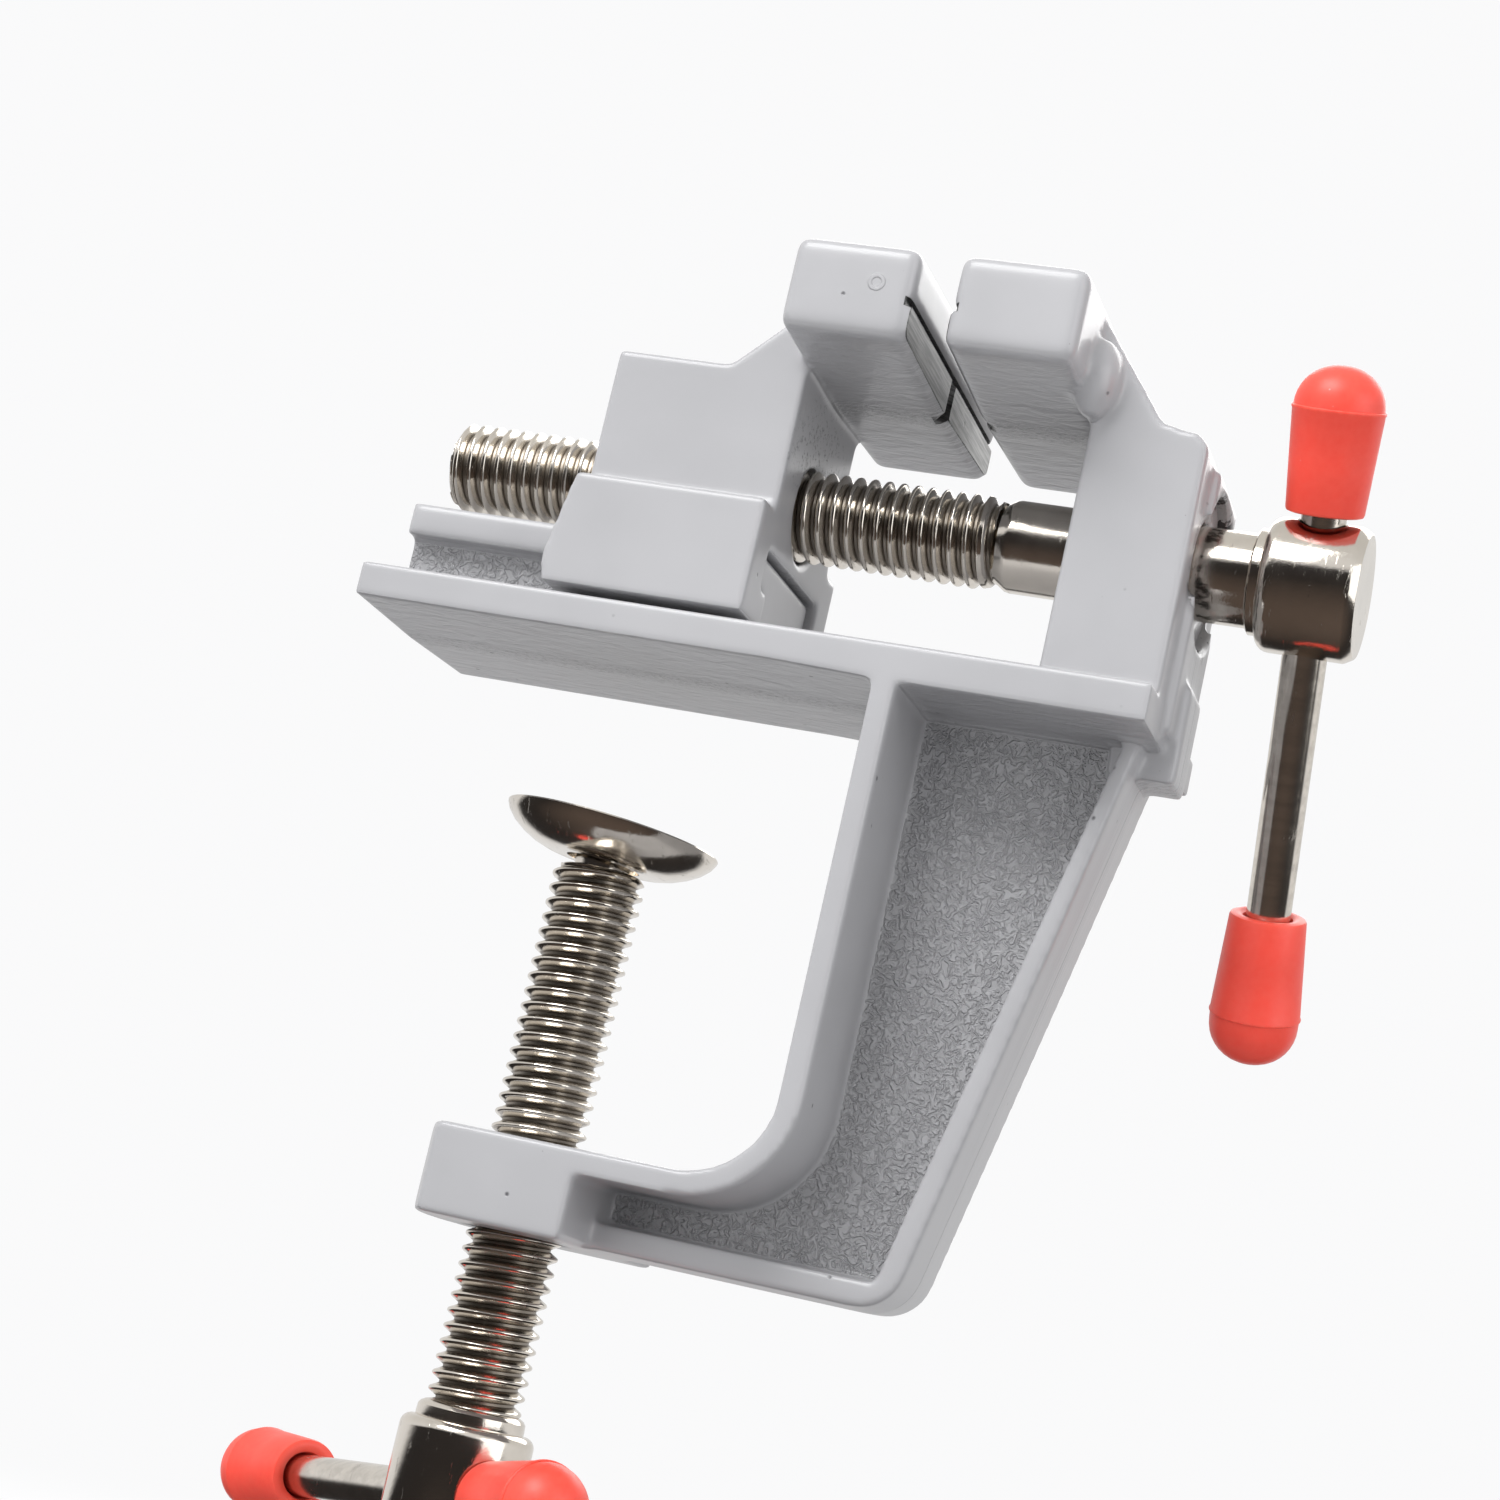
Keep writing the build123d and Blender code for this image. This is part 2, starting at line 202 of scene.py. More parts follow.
def edit_all(piece):
    """Open a piece in edit mode with everything selected."""
    take(piece)
    bpy.ops.object.mode_set(mode="EDIT")
    bpy.ops.mesh.select_all(action="SELECT")


def close_edit():
    """Back to object mode."""
    bpy.ops.object.mode_set(mode="OBJECT")


def named(name):
    """Name the object just added, and its mesh."""
    piece = bpy.context.object
    piece.name = name
    piece.data.name = name
    return piece


def settle(piece):
    """Bake the object's own place into its mesh."""
    take(piece)
    bpy.ops.object.transform_apply(location=True, rotation=True, scale=True)
    return piece


def finish_with(piece, kind, **settings):
    """Add a modifier with these settings and apply it."""
    take(piece)
    bpy.ops.object.modifier_add(type=kind)
    modifier = piece.modifiers[-1]
    for key, value in settings.items():
        setattr(modifier, key, value)
    bpy.ops.object.modifier_apply(modifier=modifier.name)


def weld(piece):
    """Merge doubled points and turn every face outwards."""
    edit_all(piece)
    bpy.ops.mesh.remove_doubles(threshold=DOUBLED)
    bpy.ops.mesh.normals_make_consistent(inside=False)
    close_edit()


def smooth(piece, angle):
    """Smooth shading with crisp edges above an angle in degrees."""
    take(piece)
    bpy.ops.object.shade_smooth_by_angle(angle=math.radians(angle))


def join(pieces, name):
    """Join several pieces into the first one."""
    deselect_all()
    for piece in pieces:
        piece.select_set(True)
    bpy.context.view_layer.objects.active = pieces[0]
    bpy.ops.object.join()
    return named(name)


def cut(piece, tool):
    """Cut a shape out of a piece, and remove the shape."""
    finish_with(piece, "BOOLEAN", operation="DIFFERENCE", solver="EXACT", object=tool)
    bpy.data.objects.remove(tool)


def rod(name, centre, way, radius, length):
    """A round bar about a centre, lying along a direction."""
    deselect_all()
    bpy.ops.mesh.primitive_cylinder_add(
        vertices=96, radius=radius, depth=length, location=centre,
        rotation=Vector(way).to_track_quat("Z", "Y").to_euler())
    return settle(named(name))


def block(name, corner_low, corner_high, turn=0.0):
    """A rectangular block between two corners, turned about Z."""
    centre = (Vector(corner_low) + Vector(corner_high)) / 2
    size = Vector(corner_high) - Vector(corner_low)
    deselect_all()
    bpy.ops.mesh.primitive_cube_add(size=1, location=centre, rotation=(0, 0, turn), scale=size)
    return settle(named(name))


def outline(name, points):
    """An open wire through points (along, out), from a circle of as many points."""
    deselect_all()
    bpy.ops.mesh.primitive_circle_add(vertices=len(points), radius=1)
    piece = named(name)
    for vertex, (along, out) in zip(piece.data.vertices, points):
        vertex.co = (along, out, 0)
    closing = {0, len(points) - 1}
    bpy.ops.object.mode_set(mode="EDIT")
    bpy.ops.mesh.select_mode(type="EDGE")
    bpy.ops.mesh.select_all(action="DESELECT")
    close_edit()
    for edge in piece.data.edges:
        edge.select = set(edge.vertices) == closing
    bpy.ops.object.mode_set(mode="EDIT")
    bpy.ops.mesh.delete(type="EDGE")
    bpy.ops.mesh.select_mode(type="VERT")
    close_edit()
    return piece


def put_along(piece, centre, way):
    """Move a shape made along +X from the origin to its place along a direction."""
    turn = Vector(way).to_track_quat("X", "Z").to_matrix().to_4x4()
    piece.data.transform(Matrix.Translation(Vector(centre)) @ turn)
    piece.data.update()


def turned(name, points, centre, way, steps=96):
    """A lathe shape: points (along, radius) spun about a line."""
    piece = outline(name, points)
    edit_all(piece)
    bpy.ops.mesh.spin(steps=steps, angle=ROUND, center=(0, 0, 0), axis=(1, 0, 0))
    close_edit()
    weld(piece)
    put_along(piece, centre, way)
    return piece


def arc(centre_along, centre_out, radius, start, end, count):
    """Points of a round stretch, from one angle to another in degrees."""
    step = (end - start) / (count - 1)
    angles = [math.radians(start + step * i) for i in range(count)]
    return [(centre_along + radius * math.cos(a), centre_out + radius * math.sin(a)) for a in angles]


def thread(name, start, end, centre, way, chamfer, runout):
    """A rolled thread from start to end along its axis, chamfered first and fading over a runout."""
    s = sizes()
    steps = 72
    depth = s.crest - s.root
    profile = [
        (0.0, s.root),
        (0.08 * s.pitch, s.root),
        (0.34 * s.pitch, s.root + 0.82 * depth),
        (0.41 * s.pitch, s.root + 0.96 * depth),
        (0.50 * s.pitch, s.crest),
        (0.59 * s.pitch, s.root + 0.96 * depth),
        (0.66 * s.pitch, s.root + 0.82 * depth),
        (0.92 * s.pitch, s.root),
        (s.pitch, s.root),
    ]
    piece = outline(name, profile)
    turns = math.ceil((end - start) / s.pitch) + 2
    finish_with(
        piece, "SCREW", axis="X", angle=ROUND, screw_offset=s.pitch, iterations=turns,
        steps=steps, render_steps=steps, use_merge_vertices=True, merge_threshold=DOUBLED)
    for vertex in piece.data.vertices:
        vertex.co.x += start - 1.5 * s.pitch
    for place, outward in ((start, -1), (end, 1)):
        edit_all(piece)
        bpy.ops.mesh.remove_doubles(threshold=DOUBLED)
        bpy.ops.mesh.bisect(
            plane_co=(place, 0, 0), plane_no=(outward, 0, 0), use_fill=True, clear_outer=True)
        close_edit()
    for vertex in piece.data.vertices:
        from_start = vertex.co.x - start
        from_end = end - vertex.co.x
        radius = math.hypot(vertex.co.y, vertex.co.z)
        if radius < 1e-6:
            continue
        limit = s.crest - max(0.0, chamfer - from_start)
        if runout > 0 and from_end < runout:
            share = 1 - from_end / runout
            limit = min(limit, s.crest - share * 0.6 * depth)
        if radius > limit:
            vertex.co.y *= limit / radius
            vertex.co.z *= limit / radius
    weld(piece)
    put_along(piece, centre, way)
    face = s.crest - chamfer
    plug = turned(name + "_end", [
        (start, 0.0),
        (start, face - 0.15 * MM),
        (start + 0.12 * MM, face),
        (start + 0.9 * MM, s.root - 0.1 * MM),
        (start + 0.9 * MM, 0.0),
    ], centre, way)
    piece = join([piece, plug], name)
    smooth(piece, 50)
    return piece


def merged_copy(node, name):
    """A copy of a CAD node's mesh, with its doubled points merged."""
    source = frame["nodes"][node]
    piece = source.copy()
    piece.data = source.data.copy()
    piece.name = name
    piece.data.name = name
    piece.parent = None
    for key in list(piece.keys()):
        del piece[key]
    bpy.context.scene.collection.objects.link(piece)
    piece.data.materials.clear()
    edit_all(piece)
    bpy.ops.mesh.remove_doubles(threshold=1e-6)
    close_edit()
    return piece


def push_grip_face(piece, face_x, outward, amount):
    """Stand the machined part of a gripping face proud, to be cut back flat later."""
    for vertex in piece.data.vertices:
        near = abs(vertex.co.x - face_x) < 0.06 * MM
        if near and GRIP_REACH[0] < vertex.co.z < GRIP_REACH[1]:
            vertex.co.x += outward * amount


def grip_cutters(face_x, outward, half_width):
    """Shapes that machine a gripping face: a flat, a long groove above it and an upright V-groove."""
    bottom = JAW_TOP - 10 * MM
    near = face_x + outward * 2 * MM
    deep = face_x - outward * 0.5 * MM
    low_x, high_x = sorted((face_x, near))
    flat = block("flat", (low_x, -half_width, bottom), (high_x, half_width, GRIP_TOP))
    low_x, high_x = sorted((deep, near))
    groove = block(
        "groove",
        (low_x, -half_width, GRIP_TOP - 0.01 * MM),
        (high_x, half_width, GRIP_GROOVE_TOP))
    vee_half = 0.6 * MM
    vee = block(
        "vee",
        (face_x - vee_half, -vee_half, bottom),
        (face_x + vee_half, vee_half, GRIP_TOP - 0.05 * MM),
        math.radians(45))
    return [flat, groove, vee]


def blob(name, centre, size):
    """A rounded lump of metal, as a mould's corner leaves it; size is its half-axes."""
    deselect_all()
    bpy.ops.mesh.primitive_uv_sphere_add(
        segments=32, ring_count=16, radius=1, location=centre, scale=size)
    return settle(named(name))


def ease(piece, keep):
    """Round every edge of a casting over, as the mould and the enamel do."""
    s = sizes()
    finish_with(piece, "REMESH", mode="VOXEL", voxel_size=s.enamel_voxel)
    finish_with(piece, "SMOOTH", factor=0.5, iterations=s.enamel_rounds)
    if keep < 1:
        finish_with(piece, "DECIMATE", decimate_type="COLLAPSE", ratio=keep)


# ---------------------------------------------------------------- materials


class Wire:
    """A shader socket that can be used in arithmetic."""

    def __init__(self, sheet, socket):
        self.sheet = sheet
        self.socket = socket

    def _math(self, operation, first, second):
        return self.sheet.node("ShaderNodeMath", {"operation": operation}, {0: first, 1: second})

    def __add__(self, other):
        return self._math("ADD", self, other)

    def __radd__(self, other):
        return self._math("ADD", other, self)

    def __sub__(self, other):
        return self._math("SUBTRACT", self, other)

    def __rsub__(self, other):
        return self._math("SUBTRACT", other, self)

    def __mul__(self, other):
        return self._math("MULTIPLY", self, other)

    def __rmul__(self, other):
        return self._math("MULTIPLY", other, self)

    def __pow__(self, other):
        return self._math("POWER", self, other)

    def __abs__(self):
        return self._math("ABSOLUTE", self, 0.0)


class Sheet:
    """A material's node sheet, with its Principled shader."""

    def __init__(self, name):
        self.material = bpy.data.materials.new(name)
        self.material.use_nodes = True
        self.tree = self.material.node_tree
        self.shader = next(n for n in self.tree.nodes if n.type == "BSDF_PRINCIPLED")
        self.place = self.node("ShaderNodeTexCoord", output="Object")

    def node(self, kind, settings=None, inputs=None, output=0):
        """Add a node: its settings first, then the values or wires of its sockets."""
        made = self.tree.nodes.new(kind)
        for key, value in (settings or {}).items():
            setattr(made, key, value)
        for key, value in (inputs or {}).items():
            self.feed(made.inputs[key], value)
        return Wire(self, made.outputs[output])

    def feed(self, socket, value):
        """Link a wire to a socket, or set its value."""
        if isinstance(value, Wire):
            self.tree.links.new(value.socket, socket)
        else:
            socket.default_value = value

    def set(self, **values):
        """Set or link the Principled shader's sockets."""
        for key, value in values.items():
            self.feed(self.shader.inputs[key.replace("_", " ")], value)

    def split(self, vector):
        """The three numbers of a vector."""
        made = self.tree.nodes.new("ShaderNodeSeparateXYZ")
        self.feed(made.inputs[0], vector)
        return [Wire(self, made.outputs[i]) for i in range(3)]

    def stretch(self, scale, turn=(0, 0, 0)):
        """The object's coordinates, turned and stretched."""
        return self.node(
            "ShaderNodeMapping", None, {"Vector": self.place, "Scale": scale, "Rotation": turn})

    def noise(self, scale, detail=3.0, roughness=0.5, vector=None, distortion=0.0):
        """Soft noise from 0 to 1."""
        return self.node(
            "ShaderNodeTexNoise", None,
            {"Vector": vector or self.place, "Scale": scale, "Detail": detail,
             "Roughness": roughness, "Distortion": distortion})

    def cells(self, scale, vector=None):
        """Distance to scattered points."""
        return self.node(
            "ShaderNodeTexVoronoi", None, {"Vector": vector or self.place, "Scale": scale})

    def either(self, first, second):
        """The larger of two masks."""
        return self.node("ShaderNodeMath", {"operation": "MAXIMUM"}, {0: first, 1: second})

    def band(self, value, start, end):
        """0 below start and 1 above end, smooth between; the other way round if start is above end."""
        return self.node(
            "ShaderNodeMapRange", {"interpolation_type": "SMOOTHSTEP"},
            {"Value": value, "From Min": start, "From Max": end, "To Min": 0.0, "To Max": 1.0})

    def blend(self, factor, first, second):
        """A colour between two colours."""
        made = self.tree.nodes.new("ShaderNodeMix")
        made.data_type = "RGBA"
        self.feed(made.inputs["Factor"], factor)
        self.feed(made.inputs[6], first)
        self.feed(made.inputs[7], second)
        return Wire(self, made.outputs[2])

    def bump(self, height, distance):
        """Relief of a height field, whose whole height is a distance."""
        return self.node(
            "ShaderNodeBump", None, {"Height": height, "Distance": distance, "Strength": 1.0})


def shade(colour, factor):
    """A colour with its alpha, darkened or lightened."""
    return (*[min(1.0, c * factor) for c in colour[:3]], 1.0)


def enamel_material(name, grip_x, outward):
    """Glossy grey enamel with orange peel, clouding and pits, hammered web, bare gripping strip, and painted shade
    in the web's hollows, in the long groove and at the bore's rim.
    """
    sheet = Sheet(name)
    base = tuple(colours().enamel)
    x, y, z = sheet.split(sheet.place)
    normal = sheet.node("ShaderNodeTexCoord", output="Normal")
    nx, ny, nz = sheet.split(normal)
    sideways = sheet.band(abs(ny), 0.7, 0.9)
    web = sheet.band(abs(y), 2.3 * MM, 1.9 * MM) * sideways * sheet.band(z, 0.0, -0.6 * MM)
    stem = sheet.band(abs(y), 6.6 * MM, 6.2 * MM) * sideways * sheet.band(z, 7.4 * MM, 7.0 * MM)
    stem = stem * sheet.band(z, 2.9 * MM, 3.3 * MM) * sheet.band(x, 12 * MM, 11 * MM)
    rough_cast = sheet.either(web, stem)
    # relief
    peel = sheet.noise(330, 2.0, 0.45)
    worms = sheet.noise(1500, 2.5, 0.55, distortion=1.4)
    worms = sheet.band(worms, 0.38, 0.62)
    grain = sheet.noise(5200, 2.0, 0.6)
    pit_field = sheet.cells(420)
    pit_pick = sheet.noise(160, 2.0)
    pits = sheet.band(pit_field, 0.11, 0.04) * sheet.band(pit_pick, 0.56, 0.64)
    under = sheet.band(nz, -0.6, -0.9) * sheet.band(z, -30 * MM, -20 * MM)
    flow = sheet.noise(620, 3.0, 0.6, vector=sheet.stretch((0.55, 1.3, 1.0)), distortion=0.6)
    seam = sheet.band(abs(y), 3.2 * MM, 0.6 * MM) * under
    seam_grit = sheet.noise(1900, 3.0, 0.7)
    height = peel * 0.35 + grain * 0.012
    height = height + rough_cast * worms * 2.2 - pits * 0.8
    height = height + under * flow * 3.0 + seam * seam_grit * 2.4
    # parting line down the outer faces, with the drag marks of its trimming
    outer = sheet.band(nx, 0.55, 0.75) * sheet.band(x, 28 * MM, 30 * MM)
    ridge = sheet.band(abs(y), 0.26 * MM, 0.10 * MM) * outer
    drag = sheet.noise(260, 4.0, 0.65, vector=sheet.stretch((0.25, 3.2, 0.25)))
    trimmed = sheet.band(abs(y), 3.4 * MM, 1.2 * MM) * outer * sheet.band(z, -46 * MM, -12 * MM)
    height = height + ridge * 1.3 + trimmed * drag * 1.6
    # ring left by the ejector on the front of the jaw block
    ring_x = x - (GRIP_MOVING_X - 3.1 * MM)
    ring_z = z - 30.3 * MM
    ring_radius = (ring_x * ring_x + ring_z * ring_z) ** 0.5
    ring = sheet.band(abs(ring_radius - 0.55 * MM), 0.22 * MM, 0.08 * MM)
    ring = ring * sheet.band(y, -17.0 * MM, -17.2 * MM)
    height = height + ring * 1.1
    relief = sheet.bump(height, 0.075 * MM)
    # colour: clouding, painted shade in the hollows of the hammered parts, pits and the seam
    cloud = sheet.noise(55, 3.0, 0.55)
    tone = sheet.blend(sheet.band(cloud, 0.3, 0.7), shade(base, 0.955), shade(base, 1.03))
    # painted shade: the hollows of the hammered web and stem are darkened
    tone = sheet.blend(rough_cast * (1 - worms) * 0.35, tone, shade(base, 0.72))
    tone = sheet.blend(pits * 0.85, tone, (0.05, 0.05, 0.055, 1))
    tone = sheet.blend(seam * sheet.band(seam_grit, 0.5, 0.62) * 0.4, tone, shade(base, 0.35))
    # rough, unpainted grit in the corners round the screw, and painted shade in broken patches at the bore's rim
    # round the screw neck
    from_bore = ((z - LEAD_AXIS.z) * (z - LEAD_AXIS.z) + y * y) ** 0.5
    grit_zone = sheet.band(nx, 0.6, 0.85) * sheet.band(from_bore, 12 * MM, 6 * MM)
    grit_zone = grit_zone * sheet.band(z, 15 * MM, 19 * MM) * sheet.band(x, 20 * MM, 18 * MM)
    grit = sheet.band(sheet.noise(2400, 3.0, 0.75), 0.56, 0.62) * grit_zone
    tone = sheet.blend(grit * 0.75, tone, (0.035, 0.034, 0.036, 1))
    rim_shade_zone = sheet.band(from_bore, 7.6 * MM, 6.2 * MM) * sheet.band(from_bore, 5.4 * MM, 6.0 * MM)
    rim_shade_zone = rim_shade_zone * sheet.band(x, 42.5 * MM, 43.2 * MM)
    rim_shade_patches = sheet.band(sheet.noise(420, 4.0, 0.7), 0.50, 0.54) * rim_shade_zone
    # painted shade: near-black patches in the gap between the bore's rim and the screw neck
    tone = sheet.blend(rim_shade_patches * 0.95, tone, (0.018, 0.017, 0.018, 1))
    # dust specks
    dust = sheet.cells(900, vector=sheet.stretch((1, 1, 1), (0.4, 0.2, 0.9)))
    specks = sheet.band(dust, 0.07, 0.03) * sheet.band(sheet.noise(240, 1.0), 0.60, 0.66)
    tone = sheet.blend(specks * 0.6, tone, (0.16, 0.15, 0.15, 1))
    roughness = 0.27 + 0.12 * cloud + rough_cast * 0.10
    # machined strip with its V-groove, and the long groove above it, painted near-black as shade
    strip = sheet.band(z, GRIP_TOP + 0.06 * MM, GRIP_TOP - 0.02 * MM)
    strip = strip * sheet.band(z, GRIP_FOOT, GRIP_FOOT + 0.1 * MM)
    from_face = x - grip_x
    faced = sheet.band(from_face * -outward, 0.10 * MM, 0.05 * MM)
    faced = faced * sheet.band(from_face * -outward, -0.10 * MM, -0.05 * MM) * strip
    vee = sheet.band(abs(y), 0.95 * MM, 0.85 * MM) * sheet.band(abs(from_face), 1.1 * MM, 1.0 * MM)
    vee = vee * strip
    groove = sheet.band(z, GRIP_GROOVE_TOP + 0.06 * MM, GRIP_GROOVE_TOP - 0.02 * MM)
    groove = groove * sheet.band(z, GRIP_TOP - 0.08 * MM, GRIP_TOP)
    groove = groove * sheet.band(from_face * outward, -0.05 * MM, -0.12 * MM)
    groove = groove * sheet.band(abs(from_face), 0.62 * MM, 0.58 * MM)
    bare = sheet.either(faced, vee)
    mill = sheet.noise(160, 3.0, 0.6, vector=sheet.stretch((1.0, 1.0, 26.0)))
    bare_tone = sheet.blend(
        sheet.band(mill, 0.35, 0.65), (0.10, 0.10, 0.10, 1), (0.24, 0.24, 0.235, 1))
    tone = sheet.blend(bare, tone, bare_tone)
    # painted shade: the long groove is coloured near-black, as the shadow inside it
    tone = sheet.blend(groove, tone, (0.03, 0.03, 0.03, 1))
    covered = sheet.either(bare, groove)
    sheet.set(
        Base_Color=tone,
        Metallic=bare * 0.9,
        Roughness=roughness * (1 - bare) + 0.38 * bare,
        Specular_IOR_Level=0.42,
        Coat_Weight=(1 - covered) * 0.22,
        Coat_Roughness=0.10,
        Normal=relief,
    )
    return sheet.material


NO_THREAD = (-1, -0.9)


def nickel_material(name, axis, radial_centre, threaded):
    """Bright nickel plating with painted shade in the thread roots, fine scratches and a patchy polish.

    threaded is the stretch of the axis that holds the thread, as (start, end).
    """
    sheet = Sheet(name)
    base = tuple(colours().nickel)
    x, y, z = sheet.split(sheet.place)
    if axis == "X":
        along, across, up = x, y, z - radial_centre.z
    else:
        along, across, up = z, x, y
    radius = (across * across + up * up) ** 0.5
    s = sizes()
    root_shade = sheet.band(radius, s.root + 0.42 * (s.crest - s.root), s.root + 0.05 * MM)
    root_shade = root_shade * sheet.band(radius, s.root - 0.5 * MM, s.root - 0.2 * MM)
    start, end = threaded
    edge = 0.1 * MM
    root_shade = root_shade * sheet.band(along, start, start + edge) * sheet.band(along, end, end - edge)
    patch = sheet.noise(140, 4.0, 0.6)
    fine = sheet.noise(2600, 3.0, 0.7)
    scratch = sheet.noise(240, 4.0, 0.7, vector=sheet.stretch((9.0, 1.0, 1.6), (0.3, 0.5, 0.2)))
    scratches = sheet.band(scratch, 0.62, 0.68)
    tone = sheet.blend(sheet.band(patch, 0.3, 0.7), shade(base, 0.90), shade(base, 1.06))
    # painted shade: the thread roots are darkened towards brown
    tone = sheet.blend(root_shade * (0.45 + 0.5 * patch), tone, (0.10, 0.075, 0.05, 1))
    tone = sheet.blend(scratches * 0.25, tone, shade(base, 0.55))
    roughness = 0.11 + 0.13 * sheet.band(patch, 0.4, 0.75) + 0.10 * scratches + root_shade * 0.22
    relief = sheet.bump(fine * 0.25 + patch * 0.6 - scratches * 0.25, 0.03 * MM)
    sheet.set(
        Base_Color=tone,
        Metallic=1.0,
        Roughness=roughness,
        Normal=relief,
    )
    return sheet.material


def bar_material(name, way):
    """Drawn and plated rod: long faint draw lines and a few rubs."""
    sheet = Sheet(name)
    base = tuple(colours().nickel)
    turn = Vector(way).rotation_difference(Vector((1, 0, 0))).to_euler()
    drawn = sheet.noise(900, 3.0, 0.6, vector=sheet.stretch((0.02, 1.0, 1.0), tuple(turn)))
    patch = sheet.noise(170, 4.0, 0.6)
    rub = sheet.band(sheet.noise(420, 3.0, 0.7, vector=sheet.stretch((3.0, 1.0, 0.5))), 0.60, 0.68)
    tone = sheet.blend(sheet.band(drawn, 0.35, 0.65), shade(base, 0.86), shade(base, 1.02))
    tone = sheet.blend(rub * 0.3, tone, shade(base, 0.5))
    sheet.set(
        Base_Color=tone,
        Metallic=1.0,
        Roughness=0.12 + 0.10 * patch + 0.12 * rub,
        Normal=sheet.bump(drawn * 0.6 + patch * 0.3, 0.015 * MM),
    )
    return sheet.material


def vinyl_material(name, centre, way, open_places):
    """Soft red vinyl: satin gloss, faint mottling, paler where it is thin at the open rims."""
    sheet = Sheet(name)
    base = tuple(colours().vinyl)
    offset = sheet.node(
        "ShaderNodeVectorMath", {"operation": "SUBTRACT"}, {0: sheet.place, 1: tuple(centre)})
    along = sheet.node(
        "ShaderNodeVectorMath", {"operation": "DOT_PRODUCT"}, {0: offset, 1: tuple(way)},
        output="Value")
    cloud = sheet.noise(260, 3.0, 0.55)
    fine = sheet.noise(1500, 3.0, 0.6)
    tone = sheet.blend(sheet.band(cloud, 0.3, 0.7), shade(base, 0.93), shade(base, 1.05))
    pale = (min(1.0, base[0] * 1.1), base[1] * 2.2, base[2] * 2.3, 1)
    for place, outward in open_places:
        distance = (along - place) * outward
        rim = sheet.band(distance, 0.8 * MM, 0.0)
        lip = sheet.band(abs(distance - LIP_FROM_OPEN), 0.28 * MM, 0.05 * MM)
        lip = lip * sheet.band(fine, 0.42, 0.56)
        tone = sheet.blend(rim * (0.35 + 0.6 * fine), tone, pale)
        tone = sheet.blend(lip * 0.7, tone, pale)
    motes = sheet.band(sheet.cells(700), 0.09, 0.04) * sheet.band(sheet.noise(300, 1.0), 0.58, 0.64)
    tone = sheet.blend(motes * 0.7, tone, (0.86, 0.42, 0.38, 1))
    sheet.set(
        Base_Color=tone,
        Roughness=0.34 + 0.14 * cloud,
        Normal=sheet.bump(cloud * 0.5 + fine * 0.12, 0.05 * MM),
        Subsurface_Weight=0.18,
        Subsurface_Radius=(1.0, 0.25, 0.15),
        Subsurface_Scale=0.6 * MM,
        Specular_IOR_Level=0.5,
    )
    return sheet.material


def steel_material(name):
    """Plain ground steel."""
    sheet = Sheet(name)
    ground = sheet.noise(1200, 3.0, 0.6)
    tone = sheet.blend(sheet.band(ground, 0.35, 0.65), (0.30, 0.30, 0.30, 1), (0.46, 0.46, 0.46, 1))
    sheet.set(Base_Color=tone, Metallic=1.0, Roughness=0.3 + 0.15 * ground)
    return sheet.material


def floor_material(name):
    """Matt pale studio floor that melts into the white backdrop with distance."""
    sheet = Sheet(name)
    grain = sheet.noise(3.0, 2.0, 0.5)
    tone = sheet.blend(grain, shade(colours().floor, 0.99), shade(colours().floor, 1.0))
    distance = sheet.node(
        "ShaderNodeVectorMath", {"operation": "LENGTH"}, {0: sheet.place}, output="Value")
    far = sheet.band(distance, 0.06, 0.40)
    sheet.set(Base_Color=sheet.blend(far, tone, (0, 0, 0, 1)), Roughness=1.0, Specular_IOR_Level=0.0)
    sheet.set(Emission_Color=sheet.blend(far, (0, 0, 0, 1), BACKDROP), Emission_Strength=1.0)
    return sheet.material


def dress(piece, material):
    """Give a piece its one material."""
    piece.data.materials.clear()
    piece.data.materials.append(material)


def dress_kept(node, material):
    """Give a CAD node its finish in its object's own slot, so that its mesh is left alone."""
    if not node.material_slots:
        raise RuntimeError(f"{node.name} has no material slot")
    for slot in node.material_slots:
        slot.link = "OBJECT"
        slot.material = material


# ---------------------------------------------------------------- pieces


